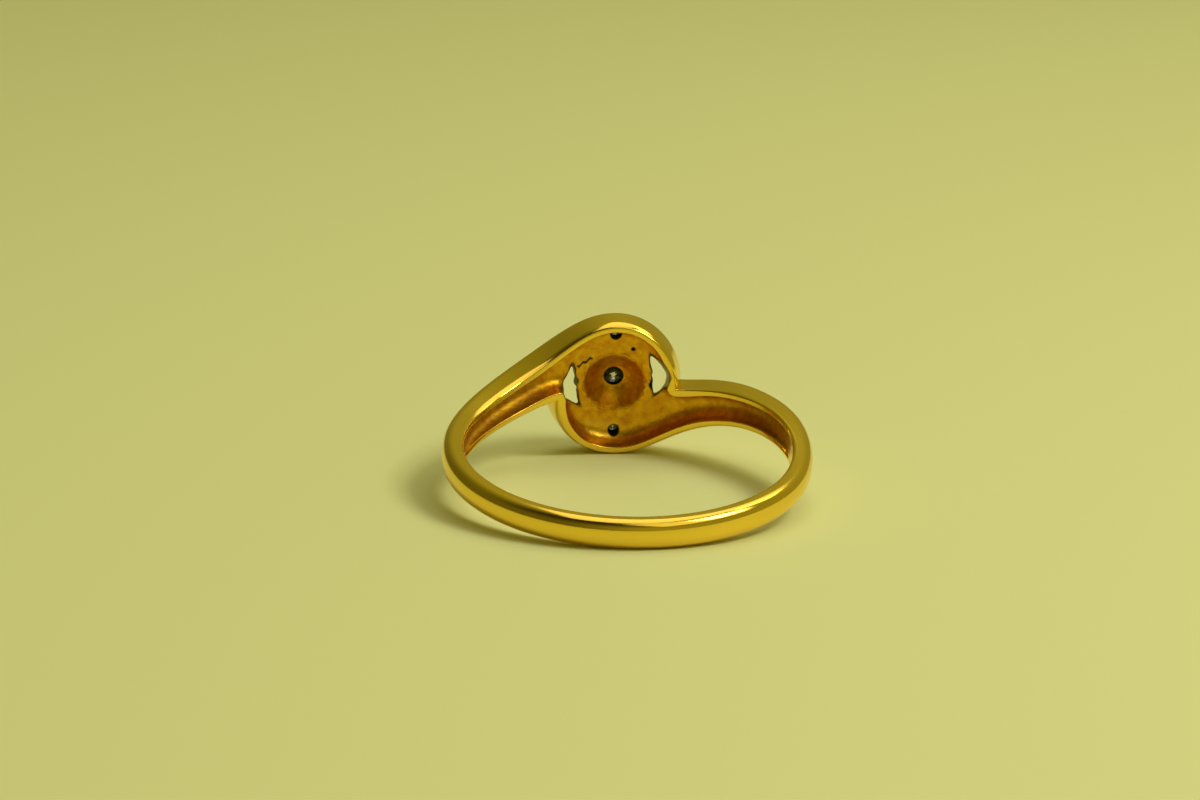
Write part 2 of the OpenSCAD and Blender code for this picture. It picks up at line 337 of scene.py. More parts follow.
def from_edges(u, a, bulge=0):
    """Distance inside the band's upper edge, or its bulging wall, which is round at the notch."""
    curl, leaving = curl_side(u, a) + bulge, return_side(u, a) + bulge * return_bulge(u)
    return np.hypot(np.maximum(curl, 0), np.maximum(leaving, 0)) + np.minimum(np.maximum(curl, leaving), 0)


def rounded(parts, power):
    """The greatest of several parts, rounded where they meet."""
    return sum(np.maximum(p, 0) ** power for p in parts) ** (1 / power)


solder_bumps = Bumps(11, 0.62)
cast_bumps = Bumps(5, 0.33)
fine_bumps = Bumps(8, 0.16)

# Corners of the two windows beside the collet, seen along the head's axis: x and a.
RIGHT_WINDOW = [(1.84, 1.66), (2.52, 1.04), (2.84, 0.42), (2.73, -0.24), (2.08, -0.84)]
LEFT_WINDOW = [(-2.28, 1.14), (-1.86, -1.34), (-2.7, -0.9), (-2.84, -0.14), (-2.6, 0.56)]
# How far the windows fall towards the finger's lower side for each mm of depth.
window_slant = 0.4
# A casting pit in the head's floor.
PIT = (0.95, 1.95)
PIT_R = 0.075
# Middle of a patch that wear has smoothed, low in the hollow.
WORN = (-0.9, -2.75)
# Ends of a crack in the solder above the collet.
CRACK = ((-2.0, 1.05), (-1.3, 1.44))


def window(x, a, corners):
    """Positive in the opening whose corners are given clockwise."""
    inside = 9.0
    for (x0, a0), (x1, a1) in zip(corners, corners[1:] + corners[:1]):
        length = math.hypot(x1 - x0, a1 - a0)
        side = ((x - x0) * (a1 - a0) - (a - a0) * (x1 - x0)) / length
        inside = smooth_min(inside, side, 0.16)
    return inside


def solder_edge(x, a):
    """Radius up to which solder from the arms covers the collet's underside."""
    return 1.66 + 0.06 * solder_bumps(1.3 * x, 1.3 * a, 0)


def crack_gap(x, a):
    """Distance from the open crack in the solder, above the collet."""
    along_crack = np.clip((x - CRACK[0][0]) / (CRACK[1][0] - CRACK[0][0]), 0, 1)
    middle = mix(CRACK[0][1], CRACK[1][1], along_crack) + 0.05 * np.sin(17 * x)
    return np.hypot(x - mix(CRACK[0][0], CRACK[1][0], along_crack), a - middle)


def hollow_floor(u):
    """Depth of the hollow's floor."""
    return np.maximum(hollow_depth * (1 - (u / hollow_reach) ** 2), 0.02)


def outside_form(u, a, d, up_u, low_u):
    """Positive inside upright sides that stand out beyond the rim and round over into the face."""
    swollen = swell(u)
    thickness = mix(shank_t, head_t, swollen)
    side = mix(shank_side, head_side, swollen)
    reach = side * bulge_depth / head_side
    still = 1 - np.clip(d / reach, 0, 1)
    bulge = side_bulge * swollen * (1 - still ** 2)
    round_r = mix(shank_w / 2, head_round_r, smooth_step((shoulder_reach - np.abs(u)) / 6))
    power = mix(shank_square, head_square, swollen)
    rise = (d - side) / (thickness - side)
    up_wall = 1 - from_edges(up_u, a, bulge) / round_r
    low_wall = 1 - from_edges(low_u, -a, bulge) / round_r
    return round_r * (1 - rounded([up_wall, low_wall, rise], power))


def hollow_form(u, a, d, up_u, low_u):
    """Positive in the hollow back, whose walls round into its floor."""
    upper_notch_gap = np.hypot(up_u - notch[0], a - notch[1])
    lower_notch_gap = np.hypot(low_u - notch[0], a + notch[1])
    notch_gap = np.minimum(upper_notch_gap, lower_notch_gap)
    rim = mix(rim_w, notch_rim_w, np.exp(-(notch_gap / notch_rim_spread) ** 2))
    hollow_r = mix(shank_hollow_r, head_hollow_r, smooth_step((hollow_reach - np.abs(u)) / 10))
    up_wall = 1 - (from_edges(up_u, a) - rim) / hollow_r
    low_wall = 1 - (from_edges(low_u, -a) - rim) / hollow_r
    deep = np.maximum(d, 0) / hollow_floor(u)
    hollow = hollow_r * (1 - rounded([up_wall, low_wall, deep], head_square))
    hollow = np.minimum(hollow, (hollow_reach - np.abs(u)) * hollow_rise)
    grain = cast_bumps(u, a, d) * 0.5 + fine_bumps(u, a, d) * 0.5
    return hollow + grain_height * grain * smooth_step(hollow / 0.05 + 1.5)


def along_head(u, d):
    """Distance across the finger, and depth along the head's axis, of unrolled points."""
    turn = u / finger_r
    x = np.where(np.cos(turn) > 0, (finger_r + d) * np.sin(turn), finger_r)
    return x, (finger_r + d) * np.cos(turn) - finger_r


def beside_collet(x, a):
    """From 1 at the collet to 0 half a mm away from it."""
    return 1 - smooth_step((np.hypot(x, a) - collet_r) / 0.5)


def window_form(x, a, depth):
    """Positive in the two windows, which are more ragged beside the collet."""
    opening = -9.0
    along_window = a + window_slant * (depth - hollow_depth)
    ragged = (window_rag + collet_rag * beside_collet(x, a)) * solder_bumps(x, a, depth)
    for corners in (RIGHT_WINDOW, LEFT_WINDOW):
        opening = np.maximum(opening, window(x, along_window, corners) + ragged)
    return opening


def pit_gap(x, a, depth):
    """Distance from the casting pit."""
    return np.sqrt((x - PIT[0]) ** 2 + (a - PIT[1]) ** 2 + ((depth - hollow_depth) * 0.7) ** 2) - PIT_R


def collet_seat(x, a, d):
    """Positive outside the collet's place, apart from the solder that covers the collet's rim."""
    from_axis = np.hypot(x, a)
    over_collet = np.minimum(hollow_depth + solder_t - d, from_axis - solder_edge(x, a))
    return smooth_max(from_axis - collet_r, over_collet, 0.02)


def band_form(u, a, d):
    """The band's solid, as a field over unrolled points."""
    up_u, low_u = squash_u(u, d, upper_curl_upright), squash_u(-u, d, lower_curl_upright)
    hollow = hollow_form(u, a, d, up_u, low_u)
    form = smooth_min(outside_form(u, a, d, up_u, low_u), -hollow, 0.06)
    inner_round = mix(shank_edge_round, edge_round, smooth_step(2.2 * swell(u)))
    form = smooth_min(form, d, inner_round)
    x, depth = along_head(u, d)
    form = smooth_min(form, collet_seat(x, a, d), 0.02)
    form = smooth_min(form, -window_form(x, a, depth), 0.1)
    for turned in (1, -1):
        gap = np.hypot(x, a - turned * accent_offset)
        bevel = (gap - accent_r - seat_room) * SEAT_SLOPE[0] - (depth - accent_girdle) * SEAT_SLOPE[1]
        form = smooth_min(form, np.where(depth > hollow_depth + 0.4, bevel, 9), 0.02)
        form = smooth_min(form, gap - accent_hole_r, 0.05)
    return smooth_min(form, pit_gap(x, a, depth), 0.03)


def band_finish(u, a, d):
    """How far the band's surface is as cast, and how dark it is painted: painted shade at the windows'
    edges, round the pit and the accent holes and down the channels, and the crack's own dark line.
    """
    up_u, low_u = squash_u(u, d, upper_curl_upright), squash_u(-u, d, lower_curl_upright)
    hollow = hollow_form(u, a, d, up_u, low_u)
    x, depth = along_head(u, d)
    worn = smooth_step(1.6 - np.hypot((x - WORN[0]) / 1.3, (a - WORN[1]) / 0.55))
    cast = smooth_step((hollow + 0.05) / 0.06) * (1 - 0.3 * worn)
    accent_gap = np.hypot(x, np.abs(a) - accent_offset) - accent_hole_r
    # Painted shade where the windows open (deeper beside the collet), round the pit and round the accent
    # holes; the crack in the solder adds its own dark line.
    shade_and_crack = (smooth_step(1 + window_form(x, a, depth) / 0.13) * mix(0.75, 1, beside_collet(x, a))
            + smooth_step(1 - (pit_gap(x, a, depth) - 0.02) / 0.06)
            + smooth_step(1.4 - crack_gap(x, a) / 0.08) * (d < hollow_depth + 0.1)
            + smooth_step(1 - accent_gap / 0.06))
    # Painted shade darkening the hollow down both channels.
    channels = smooth_step((u - 4.5) / 4) + smooth_step((-u - 3) / 1.5)
    channel_shade = 0.6 * channels * smooth_step(hollow / 0.1 + 0.5)
    return cast, np.clip(shade_and_crack + channel_shade, 0, 1)


def grid_line(reach, fine_reach, fine, coarse):
    """Points from -reach to reach, fine apart near the middle and coarse at both ends."""
    half = [0.0]
    while half[-1] < reach:
        share = smooth_step((half[-1] - fine_reach) / 6)
        half.append(half[-1] + float(mix(fine, coarse, share)))
    half = np.array(half[1:]) * reach / half[-1]
    return np.concatenate([-half[::-1], [0], half])


CORNERS = [(i, j, k) for i in (0, 1) for j in (0, 1) for k in (0, 1)]


def crossed_cells(inside):
    """Numbers of the grid's cells that the surface passes through, or -1, and a list of these cells."""
    n = inside.shape
    count = np.zeros((n[0], n[1] - 1, n[2] - 1), np.int8)
    closed = np.concatenate([inside, inside[:1]], 0)
    for i, j, k in CORNERS:
        count += closed[i:n[0] + i, j:n[1] - 1 + j, k:n[2] - 1 + k]
    cells = np.argwhere((count > 0) & (count < 8))
    number = np.full(count.shape, -1)
    number[tuple(cells.T)] = np.arange(len(cells))
    return number, cells


def crossing_points(form, cells, axes):
    """For each cell, the middle of the places on its edges where the field changes sign."""
    value = {}
    for c in CORNERS:
        value[c] = form[(cells[:, 0] + c[0]) % len(form), cells[:, 1] + c[1], cells[:, 2] + c[2]]
    total = np.zeros((len(cells), 3))
    crossings = np.zeros(len(cells))
    for c in CORNERS:
        for axis in range(3):
            if c[axis]:
                continue
            other = tuple(1 if m == axis else c[m] for m in range(3))
            v0, v1 = value[c], value[other]
            crossed = (v0 > 0) != (v1 > 0)
            t = np.where(crossed, v0 / np.where(crossed, v0 - v1, 1), 0)
            place = np.tile(np.array(c, float), (len(cells), 1))
            place[:, axis] += t
            total += place * crossed[:, None]
            crossings += crossed
    at = cells + total / crossings[:, None]
    points = []
    for axis, line in enumerate(axes):
        past_end = 2 * line[-1] - line[-2] if axis else line[0] + 2 * half_turn
        line = np.append(line, past_end)
        points.append(np.interp(at[:, axis], np.arange(len(line)), line))
    return np.column_stack(points)


def net_quads(inside, number):
    """A quad of cells round every grid edge that passes through the surface."""
    n = inside.shape
    quads = []
    for axis in range(3):
        b, c = [(1, 2), (2, 0), (0, 1)][axis]
        crossed = inside != np.roll(inside, -1, axis)
        if axis:
            np.moveaxis(crossed, axis, 0)[-1] = False
        edge = np.argwhere(crossed)
        for m in (1, 2):
            if m != axis:
                edge = edge[(edge[:, m] > 0) & (edge[:, m] < n[m] - 1)]
        ring = []
        for db, dc in ((-1, -1), (0, -1), (0, 0), (-1, 0)):
            cell = edge.copy()
            cell[:, b] += db
            cell[:, c] += dc
            cell[:, 0] %= n[0]
            ring.append(number[tuple(cell.T)])
        quad = np.column_stack(ring)
        # Rolling the band up turns it inside out, so faces run the other way here.
        outwards = inside[tuple(edge.T)]
        quad[outwards] = quad[outwards][:, ::-1]
        quads.append(quad)
    return np.vstack(quads)


def surface_net(form, axes):
    """Points and quads of the surface where a field over a grid is zero; the first axis is closed."""
    inside = form > 0
    number, cells = crossed_cells(inside)
    return crossing_points(form, cells, axes), net_quads(inside, number)


def gradient(form, p, step=0.004):
    """Slope of a field at points, by differences."""
    out = np.empty_like(p)
    for axis in range(3):
        shift = np.zeros(3)
        shift[axis] = step
        out[:, axis] = (form(*(p + shift).T) - form(*(p - shift).T)) / (2 * step)
    return out


def settled(form, points):
    """Points moved onto the surface where the field is zero."""
    for _ in range(2):
        slope = gradient(form, points)
        move = slope * (form(*points.T) / np.maximum((slope ** 2).sum(1), 0.05))[:, None]
        length = np.linalg.norm(move, axis=1)
        points = points - move * np.minimum(1, 0.04 / np.maximum(length, 1e-9))[:, None]
    return points


def evened(form, points, quads):
    """Points slid along the surface towards the middle of their neighbours."""
    total = np.zeros_like(points)
    count = np.zeros(len(points))
    for a, b in ((0, 1), (1, 2), (2, 3), (3, 0)):
        apart = points[quads[:, b]] - points[quads[:, a]]
        apart[:, 0] = (apart[:, 0] + half_turn) % (2 * half_turn) - half_turn
        np.add.at(total, quads[:, a], apart)
        np.add.at(total, quads[:, b], -apart)
        np.add.at(count, quads[:, a], 1)
        np.add.at(count, quads[:, b], 1)
    slide = 0.6 * total / np.maximum(count, 1)[:, None]
    slope = gradient(form, points)
    across = slope / np.maximum(np.linalg.norm(slope, axis=1), 1e-9)[:, None]
    return points + slide - across * (slide * across).sum(1)[:, None]


def rolled(p):
    """Unrolled points on the ring, in its own frame."""
    turn = p[:, 0] / finger_r
    r = finger_r + p[:, 2]
    return np.column_stack([r * np.sin(turn), r * np.cos(turn), p[:, 1]])


def rolled_normals(p, slope):
    """Outward normals on the ring from slopes of the unrolled field."""
    turn = p[:, 0] / finger_r
    round_ring = slope[:, 0] * finger_r / (finger_r + p[:, 2])
    away = slope[:, 2]
    n = -np.column_stack([round_ring * np.cos(turn) + away * np.sin(turn),
                          -round_ring * np.sin(turn) + away * np.cos(turn), slope[:, 1]])
    return n / np.maximum(np.linalg.norm(n, axis=1), 1e-9)[:, None]


def to_scene(points):
    """Points of the ring's own frame in the scene, in metres."""
    return points @ np.array(LAID).T * MM


def add_mesh(name, points, faces, normals=None, smooth=True):
    """A new piece from points of the ring's own frame."""
    mesh = bpy.data.meshes.new(name)
    mesh.from_pydata(to_scene(np.asarray(points)).tolist(), [], [list(map(int, f)) for f in faces])
    mesh.validate()
    mesh.polygons.foreach_set("use_smooth", [smooth] * len(mesh.polygons))
    if normals is not None:
        mesh.normals_split_custom_set_from_vertices((normals @ np.array(LAID).T).tolist())
    piece = bpy.data.objects.new(name, mesh)
    bpy.context.scene.collection.objects.link(piece)
    return piece


def paint(piece, name, values):
    """Keeps a value for each of a piece's points, which its material reads."""
    attribute = piece.data.attributes.new(name, "FLOAT", "POINT")
    attribute.data.foreach_set("value", np.asarray(values, np.float32))


def make_band():
    """The gold band: the surface of its field, evened out and rolled up round the finger."""
    step = 0.058
    past_edge = 0.15
    us = grid_line(half_turn, 4, 0.06, 0.2)[:-1]
    side_reach = arm_reach + side_bulge + past_edge
    along = np.arange(-side_reach, side_reach, step)
    depths = np.concatenate([np.arange(-0.1, 0.2, 0.04), np.arange(0.2, head_t + past_edge, step)])
    form = np.empty((len(us), len(along), len(depths)))
    for i in range(0, len(us), 40):
        block = np.meshgrid(us[i:i + 40], along, depths, indexing="ij")
        form[i:i + 40] = band_form(*block)
    points, quads = surface_net(form, (us, along, depths))
    points = settled(band_form, points)
    for _ in range(2):
        points = settled(band_form, evened(band_form, points, quads))
    points[:, 2] = np.maximum(points[:, 2], 0)
    slope = gradient(band_form, points)
    band = add_mesh("gold_band", rolled(points), quads, rolled_normals(points, slope))
    cast, shade_and_crack = band_finish(*points.T)
    paint(band, "cast", cast)
    # Painted shade and the crack's dark line go on as one attribute.
    paint(band, "shade_and_crack", shade_and_crack)
    return band


def collet_underside(x, a):
    """Depth of the collet's underside: its bowl, and the floor that solder covers."""
    r = np.hypot(x, a)
    bowl = bowl_crown - BOWL_FALL * np.maximum(r - culet_hole_r, 0) ** bowl_curve
    turn = np.arcsin(x / (finger_r + hollow_depth))
    u = finger_r * turn
    floor = (finger_r + hollow_floor(u)) * np.cos(turn) - finger_r
    depth = smooth_max(bowl, floor, 0.14)
    covered = solder_t * smooth_step((r - solder_edge(x, a) - 0.01) / 0.06)
    return depth + covered + 0.0032 * (cast_bumps(u, a, hollow_depth) + fine_bumps(u, a, hollow_depth))


def collet_rows():
    """Rings of points from the collet's hole round its outside and back. Each is a radius, a share of
    the way from the underside to a depth, that depth, and how much deeper the ring lies."""
    lip = (collet_r - plate_r) / 2
    shoulder = collet_top - lip
    hole_round = 0.05
    rows = [(culet_hole_r + hole_round * (1 - math.cos(t)), 0, 0, hole_round * (1 - math.sin(t)))
            for t in np.linspace(0.2, math.pi / 2, 5)]
    rows += [(r, 0, 0, 0) for r in np.linspace(culet_hole_r + hole_round, collet_r - 0.04, 56)[1:]]
    rows += [(collet_r, share, shoulder, 0) for share in np.linspace(0.03, 1, 15)]
    rows += [(collet_r - lip * (1 - math.cos(t)), 1, shoulder + lip * math.sin(t), 0)
             for t in np.linspace(0, math.pi, 9)[1:]]
    rows += [(plate_r, 1, depth, 0) for depth in np.linspace(shoulder, plate_floor, 5)[1:]]
    return rows + [(culet_hole_r, 1, plate_floor, 0), (culet_hole_r, 1, bowl_crown + 0.15, 0)]


def collet_painted_shade(x, a, depth):
    """Painted shade in the collet's hole and beside the windows."""
    out = np.hypot(x, a)
    in_hole = smooth_step((culet_hole_r + 0.06 - out) / 0.05)
    beside_window = smooth_step((np.abs(x) - 1.45) / 0.2) * (depth < 1.9)
    beside = beside_window * smooth_step((out - collet_r + 0.2) / 0.12)
    return np.clip(in_hole + beside, 0, 1)


def make_collet():
    """The round setting: a bowl under its culet hole, flush with the hollow's floor, and a plain lip."""
    turns = 288
    phi = np.arange(turns) * 2 * math.pi / turns
    rows = collet_rows()
    points = []
    for r, share, fixed, lift in rows:
        x, a = r * np.cos(phi), r * np.sin(phi)
        depth = mix(collet_underside(x, a), fixed, share) + lift
        points.append(np.column_stack([x, finger_r + depth, a]))
    points = np.vstack(points)
    here = np.arange(turns)
    right = np.roll(here, -1)
    quads = []
    for i in range(len(rows)):
        low, high = i * turns, (i + 1) % len(rows) * turns
        quads.append(np.column_stack([low + here, high + here, high + right, low + right]))
    collet = add_mesh("collet", points, np.vstack(quads))
    share = np.repeat([row[1] for row in rows], turns)
    # The collet's painted shade, kept in the same attribute as the band's.
    paint(collet, "shade_and_crack", collet_painted_shade(points[:, 0], points[:, 2], points[:, 1] - finger_r))
    paint(collet, "cast", 1 - smooth_step(share * 4))
    return collet


def make_plate():
    """The bright-cut plate: ridges and valleys cut like a star between the stone and the collet."""
    cuts = 12
    phi = np.arange(2 * cuts) * math.pi / cuts
    ridge = np.arange(2 * cuts) % 2 == 0
    seat_r = centre_r + 0.015
    middle_r = mix(seat_r, plate_r, 0.5)
    cut_rings = [(seat_r, centre_girdle), (seat_r + 0.06, centre_girdle - 0.005),
                 (middle_r, np.where(ridge, centre_girdle - 0.07, centre_girdle - 0.2)),
                 (plate_r - 0.08, np.where(ridge, plate_edge, plate_edge - 0.06)),
                 (plate_r - 0.06, plate_edge), (plate_r, plate_edge)]
    rings = cut_rings + [(plate_r, plate_floor), (culet_hole_r, plate_floor)]
    points = np.vstack([np.column_stack([r * np.cos(phi), finger_r + depth + 0 * phi, r * np.sin(phi)])
                        for r, depth in rings])
    turns = 2 * cuts
    faces = []
    for ring in range(len(rings)):
        low, high = ring * turns, (ring + 1) % len(rings) * turns
        for i in range(turns):
            j = (i + 1) % turns
            corners = (low + i, high + i, high + j, low + j)
            # Each sloping facet is split from its ridge.
            if i % 2 == 0:
                faces += [(corners[0], corners[1], corners[2]), (corners[0], corners[2], corners[3])]
            else:
                faces += [(corners[0], corners[1], corners[3]), (corners[1], corners[2], corners[3])]
    return add_mesh("star_plate", points, faces, smooth=False)


def bent_posts(name, girdle, offset, path, radii):
    """Four posts round a stone; the path gives distances from its axis and heights over its girdle."""
    sides = 20
    path = np.array(path, float)
    turns = np.arange(sides) * 2 * math.pi / sides
    points, faces = [], []
    for quarter in range(4):
        angle = math.pi / 4 + quarter * math.pi / 2
        out = np.array([math.cos(angle), 0, math.sin(angle)])
        across = np.array([-math.sin(angle), 0, math.cos(angle)])
        up = np.array([0, 1, 0])
        start = sum(len(block) for block in points)
        along = np.gradient(path, axis=0)
        along /= np.linalg.norm(along, axis=1)[:, None]
        for (r, height), (dr, dh), radius in zip(path, along, radii):
            middle = out * r + up * (finger_r + girdle + height) + np.array([0, 0, offset])
            side = out * dh - up * dr
            circle = np.outer(np.cos(turns), side) + np.outer(np.sin(turns), across)
            points.append(middle + radius * circle)
        for ring in range(len(path) - 1):
            low = start + ring * sides
            for i in range(sides):
                j = (i + 1) % sides
                faces.append((low + i, low + j, low + sides + j, low + sides + i))
        faces.append(tuple(range(start, start + sides))[::-1])
        faces.append(tuple(start + (len(path) - 1) * sides + i for i in range(sides)))
    return add_mesh(name, np.vstack(points), faces)


def make_claws():
    """Four claws, thick at the root and bent down over the centre diamond's edge."""
    bend = [[centre_r + 0.19, -0.25], [centre_r + 0.18, 0.02],
            [centre_r + 0.15, 0.26], [centre_r - 0.17, 0.2]]
    share = np.linspace(0, 1, 28)
    radii = mix(0.165, 0.1, share) * np.sqrt(np.clip((1.02 - share) / 0.16, 0, 1))
    return bent_posts("claws", centre_girdle, 0, bezier(bend, share), radii)


def make_grains(name, offset):
    """Four grains raised from the arm's own metal and pushed over an accent diamond's edge."""
    bend = [[accent_r + 0.22, -0.12], [accent_r + 0.17, 0.06],
            [accent_r + 0.1, 0.16], [accent_r - 0.07, 0.12]]
    share = np.linspace(0, 1, 24)
    radii = mix(0.11, 0.095, share) * np.sqrt(np.clip((1.02 - share) / 0.3, 0, 1))
    return bent_posts(name, accent_girdle, offset, bezier(bend, share), radii)


# ---------- Materials ----------

POLISHED_GOLD = (0.95, 0.65, 0.075)
CAST_GOLD_DARK = (0.60, 0.24, 0.006)
CAST_GOLD_LIGHT = (0.84, 0.47, 0.012)
# Colour of painted shade, and of the crack in the solder.
SHADE_AND_CRACK_DARK = (0.035, 0.03, 0.012)
# Colours of the painted shade film on the stones' backs: dark on the centre stone, paler on the accent
# stones.
DARK_STONE_SHADE = (0.07, 0.08, 0.025)
PALE_STONE_SHADE = (0.4, 0.42, 0.2)
DIAMOND_IOR = 2.417


def new_material(name):
    """A new material, its nodes and links, and its Principled shader."""
    material = bpy.data.materials.new(name)
    material.use_nodes = True
    nodes = material.node_tree.nodes
    return material, nodes, material.node_tree.links, nodes["Principled BSDF"]


def map_range(nodes, links, source, low, high, first, last):
    """A socket's value mapped smoothly from low..high to first..last."""
    node = nodes.new("ShaderNodeMapRange")
    node.interpolation_type = "SMOOTHSTEP"
    node.inputs["From Min"].default_value = low
    node.inputs["From Max"].default_value = high
    node.inputs["To Min"].default_value = first
    node.inputs["To Max"].default_value = last
    links.new(source, node.inputs["Value"])
    return node.outputs["Result"]


def times(nodes, links, first, second):
    """One socket's value times another's."""
    node = nodes.new("ShaderNodeMath")
    node.operation = "MULTIPLY"
    links.new(first, node.inputs[0])
    links.new(second, node.inputs[1])
    return node.outputs["Value"]


def scaled(nodes, links, source, factor, base):
    """A socket's value times a factor, plus a number or another socket's value."""
    node = nodes.new("ShaderNodeMath")
    node.operation = "MULTIPLY_ADD"
    node.inputs[1].default_value = factor
    links.new(source, node.inputs[0])
    if isinstance(base, float):
        node.inputs[2].default_value = base
    else:
        links.new(base, node.inputs[2])
    return node.outputs["Value"]


def blended(nodes, links, share, low, high):
    """A colour between two, each given as a colour or as a socket."""
    blend = nodes.new("ShaderNodeMix")
    blend.data_type = "RGBA"
    links.new(share, blend.inputs["Factor"])
    for socket, colour in ((blend.inputs["A"], low), (blend.inputs["B"], high)):
        if isinstance(colour, tuple):
            socket.default_value = (*colour, 1)
        else:
            links.new(colour, socket)
    return blend.outputs["Result"]


def noise(nodes, links, scale, detail):
    """Noise fixed to the piece."""
    place = nodes.new("ShaderNodeTexCoord")
    grain = nodes.new("ShaderNodeTexNoise")
    grain.inputs["Scale"].default_value = scale
    grain.inputs["Detail"].default_value = detail
    links.new(place.outputs["Object"], grain.inputs["Vector"])
    return grain.outputs["Fac"]


def ramp(nodes, links, source, low, high, first, last):
    """Colours from first to last as a socket's value goes from low to high."""
    node = nodes.new("ShaderNodeValToRGB")
    for element, position, colour in zip(node.color_ramp.elements, (low, high), (first, last)):
        element.position = position
        element.color = (*colour, 1)
    links.new(source, node.inputs["Fac"])
    return node.outputs["Color"]


def painted(nodes, name):
    """A value painted on the piece."""
    node = nodes.new("ShaderNodeAttribute")
    node.attribute_name = name
    return node.outputs["Fac"]


def worked_gold():
    """Gold that is polished outside, grainy where it is as cast, and dark and matt where shade is painted
    and along the crack.
    """
    material, nodes, links, shader = new_material("worked_gold")
    shader.inputs["Metallic"].default_value = 1
    cast = painted(nodes, "cast")
    shade_and_crack = painted(nodes, "shade_and_crack")
    grain = noise(nodes, links, 2600, 5)
    tint = ramp(nodes, links, grain, 0.32, 0.68, CAST_GOLD_DARK, CAST_GOLD_LIGHT)
    colour = blended(nodes, links, cast, POLISHED_GOLD, tint)
    # Painted shade and the crack darken the gold; below they also make it matt.
    links.new(blended(nodes, links, shade_and_crack, colour, SHADE_AND_CRACK_DARK), shader.inputs["Base Color"])
    rough = scaled(nodes, links, cast, 0.27, 0.13)
    links.new(scaled(nodes, links, shade_and_crack, 0.35, rough), shader.inputs["Roughness"])
    bump = nodes.new("ShaderNodeBump")
    bump.inputs["Distance"].default_value = 0.02 * MM
    links.new(times(nodes, links, grain, cast), bump.inputs["Height"])
    links.new(bump.outputs["Normal"], shader.inputs["Normal"])
    return material


def bright_metal(name, colour, rough):
    """Polished metal with faint wear: its gloss and colour drift."""
    material, nodes, links, shader = new_material(name)
    shader.inputs["Metallic"].default_value = 1
    drift = noise(nodes, links, 900, 2)
    duller = tuple(0.88 * c for c in colour)
    links.new(ramp(nodes, links, drift, 0, 1, duller, colour), shader.inputs["Base Color"])
    gloss = map_range(nodes, links, drift, 0.3, 0.7, rough, 1.7 * rough)
    links.new(gloss, shader.inputs["Roughness"])
    return material


def pale_paper():
    """The matt surface that the ring lies on."""
    material, _, _, shader = new_material("pale_floor")
    shader.inputs["Base Color"].default_value = (0.76, 0.79, 0.31, 1)
    shader.inputs["Roughness"].default_value = 0.6
    return material


def vector_math(nodes, links, operation, source, other=None):
    """The outputs of a vector operation on a socket's value."""
    node = nodes.new("ShaderNodeVectorMath")
    node.operation = operation
    links.new(source, node.inputs[0])
    if other is not None:
        node.inputs[1].default_value = other
    return node.outputs


def stone_shade_share(nodes, links, middle, film_from, film_to, thickest):
    """Share of a stone's surface under the painted shade film: only its outside, and only behind its
    girdle.
    """
    place = nodes.new("ShaderNodeTexCoord").outputs["Object"]
    level = vector_math(nodes, links, "DOT_PRODUCT", place, HEAD_AXIS)["Value"]
    apart = vector_math(nodes, links, "SUBTRACT", place, middle)["Vector"]
    beside = vector_math(nodes, links, "CROSS_PRODUCT", apart, HEAD_AXIS)["Vector"]
    gap = vector_math(nodes, links, "LENGTH", beside)["Value"]
    spread = map_range(nodes, links, gap, film_from * MM, film_to * MM, 0.35, thickest)
    girdle = middle.dot(HEAD_AXIS) + 0.02 * MM
    behind_girdle = map_range(nodes, links, level, girdle - 0.1 * MM, girdle - 0.05 * MM, 1, 0)
    patchy = map_range(nodes, links, noise(nodes, links, 5000, 3), 0.3, 0.55, 0.85, 1)
    geometry = nodes.new("ShaderNodeNewGeometry")
    outside = map_range(nodes, links, geometry.outputs["Backfacing"], 0, 1, 1, 0)
    behind = times(nodes, links, behind_girdle, outside)
    return times(nodes, links, times(nodes, links, spread, behind), patchy)


def diamond_material(middle, shade_colour, film_from, film_to, thickest):
    """Clear diamond; a painted shade film dulls the back of its pavilion between two distances from its
    axis.
    """
    material, nodes, links, shader = new_material("diamond")
    shader.inputs["Base Color"].default_value = (0.93, 0.96, 0.93, 1)
    shader.inputs["Roughness"].default_value = 0
    shader.inputs["IOR"].default_value = DIAMOND_IOR
    shader.inputs["Transmission Weight"].default_value = 1
    # A matt film of painted shade on the pavilion's back.
    shade_film = nodes.new("ShaderNodeBsdfDiffuse")
    shade_film.inputs["Color"].default_value = (*shade_colour, 1)
    blend = nodes.new("ShaderNodeMixShader")
    links.new(stone_shade_share(nodes, links, middle, film_from, film_to, thickest), blend.inputs["Fac"])
    links.new(shader.outputs["BSDF"], blend.inputs[1])
    links.new(shade_film.outputs["BSDF"], blend.inputs[2])
    links.new(blend.outputs["Shader"], nodes["Material Output"].inputs["Surface"])
    return material


# ---------- The model ----------

HEAD_AXIS = LAID @ Vector((0, 1, 0))


def head_point(a, depth):
    """A point on a line parallel with the head's axis, a along the finger."""
    return LAID @ Vector((0, finger_r + depth, a)) * MM


gold = worked_gold()
white_gold = bright_metal("white_gold", (0.80, 0.78, 0.74), 0.1)
bright_gold = bright_metal("bright_gold", POLISHED_GOLD, 0.14)
for piece, node, slot, material in (
        (make_band(), "band", "polished_gold", gold),
        (make_collet(), "centre_collet", "cast_gold", gold),
        (make_plate(), "centre_plate", "white_gold", white_gold),
        (make_claws(), "centre_claws", "white_gold", white_gold),
        (make_grains("upper_beads", accent_offset), "upper_grains", "polished_gold", bright_gold),
        (make_grains("lower_beads", -accent_offset), "lower_grains", "polished_gold", bright_gold)):
    piece.data.materials.append(material)
    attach(piece, "root")
    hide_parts(node)

